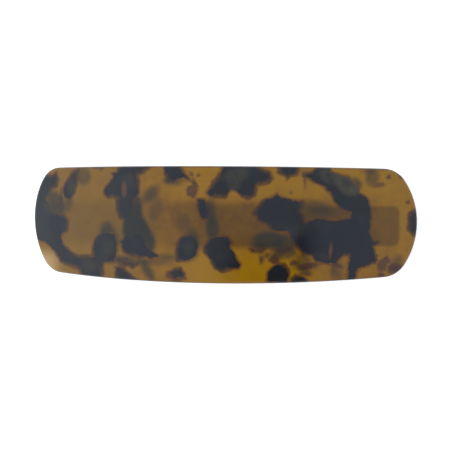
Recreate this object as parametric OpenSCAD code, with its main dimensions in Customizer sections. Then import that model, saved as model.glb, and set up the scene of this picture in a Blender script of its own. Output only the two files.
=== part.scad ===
// Barrette: an arched acetate plate on a sprung French clip.
// The arch bends about an axis parallel to Y. +X runs along the plate from the hinge to the catch,
// +Z points out of the face, and z = 0 is the surface that the closed clip rests on.

/* [Face plate] */
// Length of the acetate blank, measured along the arch
plate_length = 101.6; // [84:0.2:124]
// Width of the plate at its middle
plate_width = 28.6; // [22:0.1:36]
// How far each long edge bows out between the end and the middle
edge_bulge = 1.5; // [0.5:0.1:3]
// Radius of the two end edges of the flat blank
end_radius = 17.7; // [16:0.1:40]
// Radius of the four corners of the flat blank
corner_radius = 6.9; // [3:0.1:9]
// Thickness of the acetate sheet
plate_thickness = 2.5; // [1.5:0.1:4]
// Radius of the outer face of the arch
face_radius = 95; // [80:1:120]

/* [Base bar] */
// Straight length of the steel bar from end to end
bar_length = 88; // [72:0.5:92]
// Width of the steel bar
bar_width = 10; // [9.6:0.1:14]
// Thickness of the steel bar, its ears and its keepers
bar_thickness = 0.8; // [0.5:0.05:1.2]
// Corner radius at the bar's two ends
bar_corner = 1.8; // [0.5:0.1:3]
// Thickness of the adhesive between the bar and the acetate
adhesive_thickness = 0.15; // [0.1:0.05:0.4]
// Radius of the holes that the adhesive fills
glue_hole_radius = 0.9; // [0.5:0.1:1.4]

/* [Hinge] */
// Distance from the bar's end to the pin's axis, along X
hinge_inset = 4.5; // [4:0.1:6]
// Depth of the pin's axis under the bar
pivot_drop = 4.6; // [4.2:0.1:6]
// Height of the pin's axis above the resting surface
pivot_height = 2.4; // [2.1:0.1:3.5]
// Radius of the hinge pin
pin_radius = 0.8; // [0.6:0.05:1]
// Radial gap between the pin and the arm's barrel
pin_clearance = 0.05; // [0.02:0.01:0.1]
// Width of each ear along X
ear_width = 4.4; // [3.8:0.1:5]

/* [Clasp arm] */
// Width of the arm
arm_width = 7; // [5.5:0.1:7.4]
// Thickness of the arm's steel
arm_thickness = 0.7; // [0.5:0.05:0.9]
// Rise of the arm's arch between its bent ends
arm_rise = 5.6; // [4.6:0.1:6.4]
// Depth of the arm's turned-down edges
arm_lip = 0.7; // [0.4:0.1:1]

/* [Tension bow] */
// Width of the bow
bow_width = 5; // [4:0.1:6]
// Width of the bow's end tongues
tongue_width = 3; // [2.2:0.1:3.4]
// Thickness of the bow's spring steel
bow_thickness = 0.4; // [0.3:0.05:0.5]
// Rise of the bow's arch between its end tongues
bow_rise = 4.2; // [3.4:0.1:4.6]
// Gap between the bow and the closed arm at the middle
bow_gap = 0.5; // [0.4:0.1:0.8]
// How far the bow can be pressed towards the bar
bow_travel = 1.5; // [0.5:0.1:2]

/* [Catch] */
// Width of each squeeze tab's stem along X
stem_width = 4; // [3:0.1:4.6]
// Width of each squeeze tab's wing along X
wing_width = 5.6; // [4.8:0.1:6]
// Thickness of the catch's spring steel
catch_thickness = 0.7; // [0.5:0.05:0.8]
// Distance from the middle plane to the inner face of each stem
stem_offset = 2.1; // [1.9:0.1:2.3]
// How far each hook reaches under the arm's loop
hook_reach = 0.6; // [0.4:0.05:0.7]
// Radius of the rivet that holds the catch
rivet_radius = 0.9; // [0.6:0.05:1]

/* [Hidden] */
$fn = 96;

// Colours
acetate = [0.62, 0.40, 0.12];
nickel = [0.75, 0.74, 0.72];
spring_steel = [0.66, 0.66, 0.68];
cured_adhesive = [0.86, 0.80, 0.62];

// The bar is trimmed from a strip bent this many degrees each way
bar_sweep = 60;

// Gaps: sliding, turning and latching parts, and how far joined shapes run into each other
slide_gap = 0.1;
side_gap = 0.1;
shoulder_gap = 0.4;
latch_gap = 0.15;
window_gap = 0.3;
root_gap = 0.05;
sink = 0.3;

// Radii of the arch's layers, from the face inwards
plate_inner = face_radius - plate_thickness;
bar_outer = plate_inner - adhesive_thickness;
bar_inner = bar_outer - bar_thickness;

// Places along X, and the height of the arch's axis. The feet are the lowest points, unless the
// plate is so long that its ends reach below them, which lifts the clip.
hinge_x = -(bar_length / 2 - hinge_inset);
catch_x = -hinge_x;
half_length = plate_length / 2;
plate_reach = face_radius * sin(half_length / face_radius * 180 / PI);
axis_over_feet = pivot_height + pivot_drop - sqrt(pow(bar_inner, 2) - pow(hinge_x, 2));
plate_end_over_feet = axis_over_feet + sqrt(pow(plate_inner, 2) - pow(plate_reach, 2));
foot_z = max(0, -plate_end_over_feet);
pin_z = foot_z + pivot_height;
axis_z = foot_z + axis_over_feet;

// Hinge: the ears stand just inside the bar's edges, and the pin's heads close on them
ear_outer = bar_width / 2 - 0.1;
ear_inner = ear_outer - bar_thickness;

// Clasp arm: an arch between two flat straps at the pin's height, a little narrower than the arch
barrel_radius = pin_radius + pin_clearance + arm_thickness;
barrel_half = ear_inner - side_gap;
strap_half = arm_width / 2 - 0.2;
window_half = stem_offset + catch_thickness + window_gap;
window_length = wing_width + 1.4;
loop_bar = 1.3;
loop_half = window_half + loop_bar;
loop_length = window_length + 2 * loop_bar;
arm_span = catch_x - loop_length / 2 - 0.2;
arm_radius = (pow(arm_span, 2) + pow(arm_rise, 2)) / (2 * arm_rise);
arm_axis_z = pin_z + arm_rise - arm_radius;
arm_angle = asin(arm_span / arm_radius);

// Tension bow: an arch between two flat tongues that slide in the keepers' slots
web_half = stem_width / 2 + 1;
keeper_x = catch_x - web_half - 1.75;
keeper_half = tongue_width / 2 + 1.6;
keeper_bridge = 0.6;
tongue_overrun = 0.9;
bow_span = keeper_x - bar_thickness / 2 - shoulder_gap;
bow_top_z = pin_z + arm_rise + arm_thickness / 2 + bow_gap + bow_thickness;
bow_radius = (pow(bow_span, 2) + pow(bow_rise, 2)) / (2 * bow_rise);
bow_axis_z = bow_top_z - bow_thickness / 2 - bow_radius;
tongue_z = bow_top_z - bow_thickness / 2 - bow_rise;
bow_angle = asin(bow_span / bow_radius);
slot_bottom = tongue_z - bow_thickness / 2 - slide_gap;
slot_top = tongue_z + bow_thickness / 2 + bow_travel + slide_gap;

// Catch: stems that turn at their roots and hook under the loop, in heights over the feet
shelf_height = pivot_height - arm_thickness / 2 - latch_gap;
hook_height = shelf_height - 0.6;
root_height = pivot_height + 2.2;
stem_middle = stem_offset + catch_thickness / 2;
hook_outer = window_half + hook_reach;
web_inner = bar_inner - catch_thickness;
catch_angle = asin(catch_x / bar_inner);
head_overhang = 0.5;
head_height = 0.5;

// Adhesive: a long pad on each half, over two of the bar's holes, and a pad at each end
glue_hole_xs = [-0.55, -0.25, 0.25, 0.55] * keeper_x;
pad_spans = [[0.12 * keeper_x, 0.68 * keeper_x], [catch_x - 3, catch_x + 3.5]];
pad_width = bar_width - 0.6;
plug_depth = bar_thickness + 0.25;

// Outline of the flat blank: long edges, ends and corners are arcs that meet smoothly
long_radius = (pow(half_length, 2) + pow(edge_bulge, 2)) / (2 * edge_bulge);
long_centre = [0, plate_width / 2 - long_radius];
end_centre = [half_length - end_radius, 0];
corner = two_circle_point(long_centre, long_radius - corner_radius,
                          end_centre, end_radius - corner_radius);
long_tangent = angle_of(corner - long_centre);
end_tangent = angle_of(corner - end_centre);

function angle_of(v) = atan2(v.y, v.x);
function polar(centre, radius, angle) = centre + radius * [cos(angle), sin(angle)];
function arc(centre, radius, from, to, steps) =
    [for (i = [0 : steps]) polar(centre, radius, from + (to - from) * i / steps)];

// The upper of the two points at distance ra from a and rb from b
function two_circle_point(a, ra, b, rb) =
    let (d = norm(b - a), along = (ra * ra - rb * rb + d * d) / (2 * d),
         off = sqrt(ra * ra - along * along), u = (b - a) / d)
    a + along * u + off * [u.y, -u.x];

// A point of the flat blank after bending, seen from above
function bent(p) = [face_radius * sin(p.x / face_radius * 180 / PI), p.y];

module plate_outline() {
    quarter = concat(arc(long_centre, long_radius, 90, long_tangent, 14),
                     arc(corner, corner_radius, long_tangent, end_tangent, 10),
                     arc(end_centre, end_radius, end_tangent, 0, 8));
    right = concat([for (p = quarter) bent(p)],
                   [for (i = [len(quarter) - 2 : -1 : 0]) bent([quarter[i].x, -quarter[i].y])]);
    left = [for (i = [len(right) - 2 : -1 : 1]) [-right[i].x, right[i].y]];
    polygon(concat(right, left));
}

// Sweeps a section about an axis parallel to Y, between two angles measured from +Z towards +X
module bend(from, to, centre_z) {
    translate([0, 0, centre_z])
        rotate([90, 0, 0])
            rotate([0, 0, 90 - to])
                rotate_extrude(angle = to - from)
                    children();
}

// A flat strip after bending
module bent_strip(r_in, r_out, width, from, to, centre_z = axis_z) {
    bend(from, to, centre_z)
        translate([r_in, -width / 2])
            square([r_out - r_in, width]);
}

// A cylinder across the arch, used to trim what hangs from the bar
module arch_cylinder(radius, width) {
    translate([0, 0, axis_z])
        rotate([90, 0, 0])
            cylinder(r = radius, h = width, center = true);
}

// Puts its children at an angle round the arch, with their +Z away from the arch's axis
module on_arch(angle, radius) {
    translate([0, 0, axis_z])
        rotate([0, angle, 0])
            translate([0, 0, radius])
                children();
}

module rounded_rectangle(length, width, radius) {
    square([length - 2 * radius, width], center = true);
    square([length, width - 2 * radius], center = true);
    for (x = [-1, 1], y = [-1, 1])
        translate([x * (length / 2 - radius), y * (width / 2 - radius)])
            circle(r = radius);
}

module box(low, high) {
    translate(low)
        cube(high - low);
}

// The highest flat disc of a given radius that stays under a curved layer
function flat_under(layer, radius) = sqrt(pow(layer, 2) - pow(radius, 2));
// The angle round the arch at which the bar's inner face has a given X
function bar_angle(x) = asin(x / bar_inner);

module face_plate() {
    color(acetate)
        intersection() {
            translate([0, 0, axis_z])
                linear_extrude(face_radius + 1)
                    plate_outline();
            difference() {
                arch_cylinder(face_radius, 2 * plate_width);
                arch_cylinder(plate_inner, 2 * plate_width + 1);
            }
        }
}

// Pads between the bar and the plate, with plugs that fill the bar's holes
module adhesive_pads() {
    color(cured_adhesive) {
        for (span = pad_spans) {
            bent_strip(bar_outer, plate_inner, pad_width, bar_angle(span[0]), bar_angle(span[1]));
            bent_strip(bar_outer, plate_inner, pad_width, -bar_angle(span[1]), -bar_angle(span[0]));
        }
        for (x = glue_hole_xs)
            on_arch(bar_angle(x), bar_outer - plug_depth)
                cylinder(r = glue_hole_radius, h = plug_depth + adhesive_thickness / 2);
    }
}

// Steel strip with two hinge ears, and a slotted keeper bent down near each end
module base_bar() {
    color(nickel)
        difference() {
            union() {
                intersection() {
                    bent_strip(bar_inner, bar_outer, bar_width + 2, -bar_sweep, bar_sweep);
                    linear_extrude(face_radius)
                        rounded_rectangle(bar_length, bar_width, bar_corner);
                }
                intersection() {
                    arch_cylinder(bar_inner + sink, bar_width + 2);
                    union() {
                        for (side = [-1, 1]) {
                            hinge_ear(side);
                            bow_keeper(side);
                        }
                    }
                }
            }
            translate([hinge_x, 0, pin_z])
                rotate([90, 0, 0])
                    cylinder(r = pin_radius, h = bar_width + 2, center = true);
            for (x = glue_hole_xs)
                on_arch(bar_angle(x), bar_inner - 1)
                    cylinder(r = glue_hole_radius, h = bar_thickness + 2);
            on_arch(catch_angle, bar_inner - 1)
                cylinder(r = rivet_radius, h = bar_thickness + 2);
            for (side = [-1, 1])
                keeper_blank(side);
        }
}

module hinge_ear(side) {
    foot_radius = 0.9;
    height = pivot_height + pivot_drop;
    translate([hinge_x, side * (ear_inner + ear_outer) / 2, foot_z + height])
        rotate([90, 0, 0])
            linear_extrude(bar_thickness, center = true)
                rounded_rectangle(ear_width, 2 * height, foot_radius);
}

module bow_keeper(side) {
    x = side * keeper_x;
    difference() {
        box([x - bar_thickness / 2, -keeper_half, slot_bottom - keeper_bridge],
            [x + bar_thickness / 2, keeper_half, axis_z + bar_outer]);
        box([x - bar_thickness, -tongue_width / 2 - slide_gap, slot_bottom],
            [x + bar_thickness, tongue_width / 2 + slide_gap, slot_top]);
    }
}

// The opening left in the bar where a keeper was cut and bent down
module keeper_blank(side) {
    far = keeper_x - bar_thickness / 2;
    near = far - pivot_drop;
    box([side > 0 ? near : -far, -keeper_half, pin_z + pivot_drop],
        [side > 0 ? far : -near, keeper_half, face_radius]);
}

// Rivet through both ears and the arm's barrel, with a formed head at each end
module hinge_pin() {
    color(nickel)
        translate([hinge_x, 0, pin_z])
            rotate([90, 0, 0]) {
                cylinder(r = pin_radius, h = 2 * ear_outer, center = true);
                for (side = [-1, 1])
                    translate([0, 0, side * (ear_outer + head_height / 2)])
                        cylinder(r = pin_radius + head_overhang, h = head_height, center = true);
            }
}

// Arched lever with a rolled barrel at the hinge and a square loop at the catch
module clasp_arm() {
    top = pin_z + arm_thickness / 2;
    low = pin_z - arm_thickness / 2;
    color(nickel)
        difference() {
            union() {
                bend(-arm_angle, arm_angle, arm_axis_z)
                    arm_section();
                box([hinge_x, -strap_half, low], [sink - arm_span, strap_half, top]);
                translate([0, 0, low])
                    linear_extrude(arm_thickness)
                        loop_outline();
                translate([hinge_x, 0, pin_z])
                    rotate([90, 0, 0])
                        cylinder(r = barrel_radius, h = 2 * barrel_half, center = true);
            }
            translate([hinge_x, 0, pin_z])
                rotate([90, 0, 0])
                    cylinder(r = pin_radius + pin_clearance, h = bar_width, center = true);
        }
}

// The arm's flat end seen from above: a short strap and the loop around its window
module loop_outline() {
    difference() {
        union() {
            translate([arm_span - sink, -strap_half])
                square([loop_bar + sink, 2 * strap_half]);
            translate([catch_x, 0])
                rounded_rectangle(loop_length, 2 * loop_half, 1.2);
        }
        translate([catch_x, 0])
            rounded_rectangle(window_length, 2 * window_half, 0.6);
    }
}

// The arm's section in its arch: a flat top with both edges turned down
module arm_section() {
    outer = arm_radius + arm_thickness / 2;
    inner = outer - arm_thickness;
    edge = inner - arm_lip;
    wide = arm_width / 2;
    narrow = wide - arm_thickness;
    polygon([[outer, -wide], [outer, wide], [edge, wide], [edge, narrow],
             [inner, narrow], [inner, -narrow], [edge, -narrow], [edge, -wide]]);
}

// Leaf spring between the bar and the arm
module tension_bow() {
    tongue_end = keeper_x + bar_thickness / 2 + tongue_overrun;
    color(spring_steel) {
        bent_strip(bow_radius - bow_thickness / 2, bow_radius + bow_thickness / 2,
                   bow_width, -bow_angle, bow_angle, bow_axis_z);
        box([-tongue_end, -tongue_width / 2, tongue_z - bow_thickness / 2],
            [sink - bow_span, tongue_width / 2, tongue_z + bow_thickness / 2]);
        box([bow_span - sink, -tongue_width / 2, tongue_z - bow_thickness / 2],
            [tongue_end, tongue_width / 2, tongue_z + bow_thickness / 2]);
    }
}

// Folded channel under the bar's end: a web with two cheeks that carry the squeeze tabs
module catch_bracket() {
    cheek_low = foot_z + root_height + catch_thickness / 2 + root_gap;
    web_width = 2 * (stem_offset + catch_thickness) + 0.4;
    color(spring_steel)
        difference() {
            union() {
                bent_strip(web_inner, bar_inner, web_width,
                           bar_angle(catch_x - web_half), bar_angle(catch_x + web_half));
                intersection() {
                    arch_cylinder(web_inner + catch_thickness / 2, bar_width);
                    for (side = [-1, 1])
                        translate([catch_x - stem_width / 2,
                                   side > 0 ? stem_offset : -stem_offset - catch_thickness,
                                   cheek_low])
                            cube([stem_width, catch_thickness, pivot_drop]);
                }
            }
            on_arch(catch_angle, web_inner - 1)
                cylinder(r = rivet_radius, h = catch_thickness + 2);
        }
}

// Rivet through the bar and the catch's web, flush in the bar and headed between the cheeks
module catch_rivet() {
    head_radius = rivet_radius + head_overhang;
    head_low = flat_under(web_inner, head_radius) - head_height;
    shank_top = flat_under(bar_outer, rivet_radius);
    color(nickel) {
        on_arch(catch_angle, head_low)
            cylinder(r = head_radius, h = head_height);
        on_arch(catch_angle, head_low)
            cylinder(r = rivet_radius, h = shank_top - head_low);
    }
}

// One squeeze tab: a rounded root, a straight stem, and a hooked wing below the arm's loop
module squeeze_tab(side) {
    lead_in = window_half - 0.1;
    wing_corner = 0.9;
    color(spring_steel)
        mirror([0, side > 0 ? 0 : 1, 0])
            translate([catch_x, 0, foot_z]) {
                translate([0, stem_middle, root_height])
                    rotate([0, 90, 0])
                        cylinder(r = catch_thickness / 2, h = stem_width, center = true);
                box([-stem_width / 2, stem_offset, shelf_height - sink],
                    [stem_width / 2, stem_offset + catch_thickness, root_height]);
                intersection() {
                    rotate([90, 0, 90])
                        linear_extrude(wing_width, center = true)
                            polygon([[stem_offset, shelf_height], [stem_offset, 0], [lead_in, 0],
                                     [hook_outer, hook_height], [hook_outer, shelf_height]]);
                    translate([0, bar_width, shelf_height])
                        rotate([90, 0, 0])
                            linear_extrude(bar_width)
                                rounded_rectangle(wing_width, 2 * shelf_height, wing_corner);
                }
            }
}

module squeeze_tab_front() { squeeze_tab(-1); }
module squeeze_tab_back() { squeeze_tab(1); }

face_plate();
adhesive_pads();
base_bar();
hinge_pin();
clasp_arm();
tension_bow();
catch_bracket();
catch_rivet();
squeeze_tab_front();
squeeze_tab_back();
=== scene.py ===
import bmesh
import bpy
import numpy as np
from mathutils import Matrix, Vector


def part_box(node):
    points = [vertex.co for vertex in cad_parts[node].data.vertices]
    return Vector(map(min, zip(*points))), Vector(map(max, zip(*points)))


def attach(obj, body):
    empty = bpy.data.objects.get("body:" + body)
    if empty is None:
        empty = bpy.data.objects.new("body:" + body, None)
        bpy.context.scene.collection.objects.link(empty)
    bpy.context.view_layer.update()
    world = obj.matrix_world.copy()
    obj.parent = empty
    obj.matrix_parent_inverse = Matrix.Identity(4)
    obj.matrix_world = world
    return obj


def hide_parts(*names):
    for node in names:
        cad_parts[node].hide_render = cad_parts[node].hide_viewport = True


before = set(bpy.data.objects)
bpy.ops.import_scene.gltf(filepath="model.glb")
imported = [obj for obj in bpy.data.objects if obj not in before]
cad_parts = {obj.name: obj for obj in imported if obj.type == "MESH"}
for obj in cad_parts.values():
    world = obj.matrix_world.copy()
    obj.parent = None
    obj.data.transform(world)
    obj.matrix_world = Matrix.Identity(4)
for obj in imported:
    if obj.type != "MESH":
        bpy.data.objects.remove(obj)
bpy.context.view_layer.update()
mm = 0.001
scene = bpy.context.scene
print("frame loaded:", len(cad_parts), "nodes")


class Value:
    # A socket that can be used in sums: each operator adds one Math node

    def __init__(self, paint, socket):
        self.paint = paint
        self.socket = socket

    def math(self, operation, *others, clamp=False):
        values = (self,) + others
        settings = {"operation": operation, "use_clamp": clamp}
        return self.paint.node("ShaderNodeMath", settings, dict(enumerate(values)))

    def __add__(self, other):
        return self.math("ADD", other)

    def __sub__(self, other):
        return self.math("SUBTRACT", other)

    def __mul__(self, other):
        return self.math("MULTIPLY", other)

    def __rsub__(self, other):
        return self.paint.node("ShaderNodeMath", {"operation": "SUBTRACT"}, {0: other, 1: self})

    __radd__ = __add__
    __rmul__ = __mul__

    def limited(self):
        return self.math("ADD", 0.0, clamp=True)

    def step(self, low, high):
        # 0 below low, 1 above high, and a smooth S between them
        return self.paint.node("ShaderNodeMapRange", {"interpolation_type": "SMOOTHSTEP"},
                               {"Value": self, "From Min": low, "From Max": high})


class Paint:
    # One material or world, its nodes and its main shader

    def __init__(self, name, kind="materials", shader="Principled BSDF", **constants):
        self.owner = getattr(bpy.data, kind).new(name)
        self.owner.use_nodes = True
        self.tree = self.owner.node_tree
        self.shader = self.tree.nodes[shader]
        self.finish(**constants)

    def connect(self, node, inputs):
        for key, value in inputs.items():
            if isinstance(value, Value):
                self.tree.links.new(value.socket, node.inputs[key])
            elif isinstance(value, tuple) and len(value) == 3 and node.inputs[key].type == "RGBA":
                node.inputs[key].default_value = value + (1.0,)
            else:
                node.inputs[key].default_value = value

    def node(self, kind, settings=None, inputs=None, out=0):
        # Sets the node's settings first, then its sockets' values or links, and returns one output
        node = self.tree.nodes.new(kind)
        for key, value in (settings or {}).items():
            setattr(node, key, value)
        self.connect(node, inputs or {})
        return Value(self, node.outputs[out])

    def coords(self, scale):
        # Object coordinates in turns per millimetre, stretched by a scale on each axis
        here = self.node("ShaderNodeTexCoord", out="Object")
        return self.node("ShaderNodeMapping", {"vector_type": "POINT"},
                         {"Vector": here, "Scale": tuple(part / mm for part in scale)})

    def noise(self, scale, detail=2.0, roughness=0.5):
        scale = scale if isinstance(scale, tuple) else (scale,) * 3
        return self.node("ShaderNodeTexNoise", None,
                         {"Vector": self.coords(scale), "Scale": 1.0, "Detail": detail,
                          "Roughness": roughness}, out="Fac")

    def attribute(self, name):
        return self.node("ShaderNodeAttribute", {"attribute_name": name}, out="Fac")

    def blend(self, factor, first, second, how="MIX"):
        # Sockets 0, 6 and 7 are the colour kind's factor and its two colours
        node = self.tree.nodes.new("ShaderNodeMix")
        node.data_type = "RGBA"
        node.blend_type = how
        self.connect(node, {0: factor, 6: first, 7: second})
        return Value(self, node.outputs[2])

    def bump(self, height, distance, normal=None):
        # distance is the real height of one unit, in millimetres
        inputs = {"Height": height, "Distance": distance * mm, "Strength": 1.0}
        if normal is not None:
            inputs["Normal"] = normal
        return self.node("ShaderNodeBump", None, inputs)

    def finish(self, **links):
        self.connect(self.shader, {key.replace("_", " "): value for key, value in links.items()})
        return self.owner


def smoothStep(x, low, high):
    # 3 t^2 - 2 t^3, where t goes from 0 at low to 1 at high
    t = np.clip((x - low) / (high - low), 0, 1)
    return t * t * (3 - 2 * t)


def gridFaces(rows, columns, wrap=False):
    # Quads of a grid of points numbered row by row; wrap joins the last column to the first
    across = columns if wrap else columns - 1
    row, column = np.meshgrid(np.arange(rows - 1), np.arange(across), indexing="ij")
    after = (column + 1) % columns
    corners = (row * columns + column, row * columns + after,
               (row + 1) * columns + after, (row + 1) * columns + column)
    return np.stack(corners, -1).reshape(-1, 4)


def addPiece(name, points, faces, material, body, replaced, closed=True):
    # Puts arrays of points (mm) and faces into a mesh in metres, and finishes it as a piece
    mesh = bpy.data.meshes.new(name)
    mesh.from_pydata((np.asarray(points).reshape(-1, 3) * mm).tolist(), [], [list(f) for f in faces])
    return addMesh(name, mesh, material, body, replaced, closed)


def addMesh(name, mesh, material, body, replaced, closed=True, flatten=False):
    # Merges doubles, joins triangles that lie in one plane if asked, and rides the piece on a body
    work = bmesh.new()
    work.from_mesh(mesh)
    bmesh.ops.remove_doubles(work, verts=work.verts, dist=1e-6)
    bmesh.ops.dissolve_degenerate(work, edges=work.edges, dist=1e-7)
    if flatten:
        bmesh.ops.dissolve_limit(work, angle_limit=np.radians(0.2), verts=work.verts, edges=work.edges)
    if closed:
        bmesh.ops.recalc_face_normals(work, faces=work.faces)
    work.to_mesh(mesh)
    work.free()
    mesh.shade_smooth()
    piece = bpy.data.objects.new(name, mesh)
    scene.collection.objects.link(piece)
    mesh.materials.append(material)
    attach(piece, body)
    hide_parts(*replaced)
    print("piece made:", name, len(mesh.polygons), "faces")
    return piece


def roundEdges(piece, width, segments=2, angle=35.0):
    # Bevels every edge sharper than the angle, then lets the largest face at a corner set its normal
    bevel = piece.modifiers.new("rounded edges", "BEVEL")
    bevel.width = width * mm
    bevel.segments = segments
    bevel.limit_method = "ANGLE"
    bevel.angle_limit = np.radians(angle)
    bevel.use_clamp_overlap = True
    even = piece.modifiers.new("even shading", "WEIGHTED_NORMAL")
    even.weight = 100
    even.keep_sharp = True


def thicken(piece, thickness):
    # Half of the thickness on each side of the sheet
    wall = piece.modifiers.new("sheet thickness", "SOLIDIFY")
    wall.thickness = thickness * mm
    wall.offset = 0.0
    wall.use_even_offset = True


acetateSettings = {
    # The second colour on the next line is a painted glow of light shining through the plate
    "amber": (0.305, 0.130, 0.0020), "paintedGlowHoney": (0.350, 0.165, 0.0015), "ochre": (0.225, 0.092, 0.0030),
    "wheat": (0.235, 0.118, 0.0110), "cream": (0.560, 0.350, 0.1300),
    "smoke": (0.0120, 0.0140, 0.0200), "soot": (0.0150, 0.0130, 0.0140), "mist": (0.0240, 0.0260, 0.0260),
    "thin": (0.0620, 0.0540, 0.0330), "moss": (0.022, 0.021, 0.016),
    "plum": (0.062, 0.022, 0.018), "rose": (0.130, 0.055, 0.040), "rust": (0.095, 0.028, 0.007),
    # Both colours on the next line multiply the amber as painted shade: a dark line along the rounded edge,
    # and the painted shadow of the bar behind the plate
    "rim": (0.45, 0.42, 0.45), "paintedSteelShadow": (0.52, 0.52, 0.90),
    "cloudScale": 0.34, "raggedScale": 0.5, "fineScale": 1.7,  # turns per mm
    "ragged": 1.5, "fine": 0.4, "warmRagged": 1.6, "warmFine": 0.8,  # mm that an edge wanders
    "cloudContrast": 3.0, "crisper": 4.0, "fringe": (-0.8, -0.1), "edge": (-0.75, 0.95),
    "gloss": 0.03, "handling": 0.06, "swell": 0.04, "polishLines": 0.0003,  # the last two are heights in mm
}


def acetateMaterial(p):
    # Colour = amber with its regional tones, one of them a painted glow of light shining through the plate,
    # times a painted shadow where the bar lies behind; then moss by the deep mask, plum by the warm field,
    # rust just outside the sharp field, rose in the gaps, smoke inside the sharp field, and a darker rim of
    # painted shade along the rounded edge. sharp, warm and gap are distances in mm, positive inside; noise
    # shakes the first two before they become masks. Roughness = gloss + handling * noise.
    paint = Paint("tortoiseshellAcetate", Roughness=0.06, IOR=1.49)
    broad = paint.noise(0.09, 2.0)
    cloudy = paint.noise(p["cloudScale"], 3.0, 0.55)
    ragged = paint.noise(p["raggedScale"], 2.5, 0.55) - 0.5
    fine = paint.noise(p["fineScale"], 2.0, 0.6) - 0.5
    sharp = paint.attribute("sharp") + ragged * p["ragged"] + fine * p["fine"]
    warm = paint.attribute("warm") + ragged * p["warmRagged"] + fine * p["warmFine"]
    gap = paint.attribute("gap").step(-0.35, 0.2)
    deep = paint.attribute("deep")
    deep = (deep + deep * (1 - deep) * (cloudy - 0.5) * p["cloudContrast"]).limited()

    amber = paint.blend(cloudy.step(0.25, 0.7), p["ochre"], p["amber"])
    amber = paint.blend(paint.attribute("wheat"), amber, p["wheat"])
    # Painted glow: brighter amber where light shines through the plate
    amber = paint.blend(paint.attribute("paintedGlowHoney") * broad.step(0.1, 0.55), amber, p["paintedGlowHoney"])
    amber = paint.blend(paint.attribute("cream"), amber, p["cream"])
    # Painted shadow: darker amber where the bar lies behind the plate
    shaded = paint.blend(1.0, amber, p["paintedSteelShadow"], "MULTIPLY")
    body = paint.blend(paint.attribute("paintedSteelShadow"), amber, shaded)
    body = paint.blend(deep, body, p["moss"])
    body = paint.blend(warm.step(-0.45, 0.45) * 0.8, body, p["plum"])
    body = paint.blend(sharp.step(*p["fringe"]) * 0.7 * (1 - deep), body, p["rust"])
    body = paint.blend(gap * 0.7, body, p["rose"])

    dark = paint.blend(cloudy.step(0.3, 0.7), p["smoke"], p["soot"])
    dark = paint.blend(paint.noise(0.16, 2.0, 0.5).step(0.48, 0.68) * 0.5, dark, p["mist"])
    dark = paint.blend(paint.attribute("thin") * cloudy.step(0.1, 0.6), dark, p["thin"])
    crispness = 1.0 + paint.noise(0.12, 1.0).step(0.42, 0.56) * p["crisper"]
    inside = (sharp * crispness).step(*p["edge"])
    body = paint.blend(inside * (1 - gap * 0.75), body, dark)
    # Painted shade: a darker line along the rounded edge
    body = paint.blend(paint.attribute("rim"), body, paint.blend(1.0, body, p["rim"], "MULTIPLY"))

    relief = paint.bump(paint.noise(0.05, 1.0), p["swell"])
    relief = paint.bump(paint.noise((0.5, 6.0, 6.0), 2.0), p["polishLines"], normal=relief)
    rough = paint.noise(0.9, 4.0, 0.65) * p["handling"] + p["gloss"]
    return paint.finish(Base_Color=body, Roughness=rough, Normal=relief)
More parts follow.
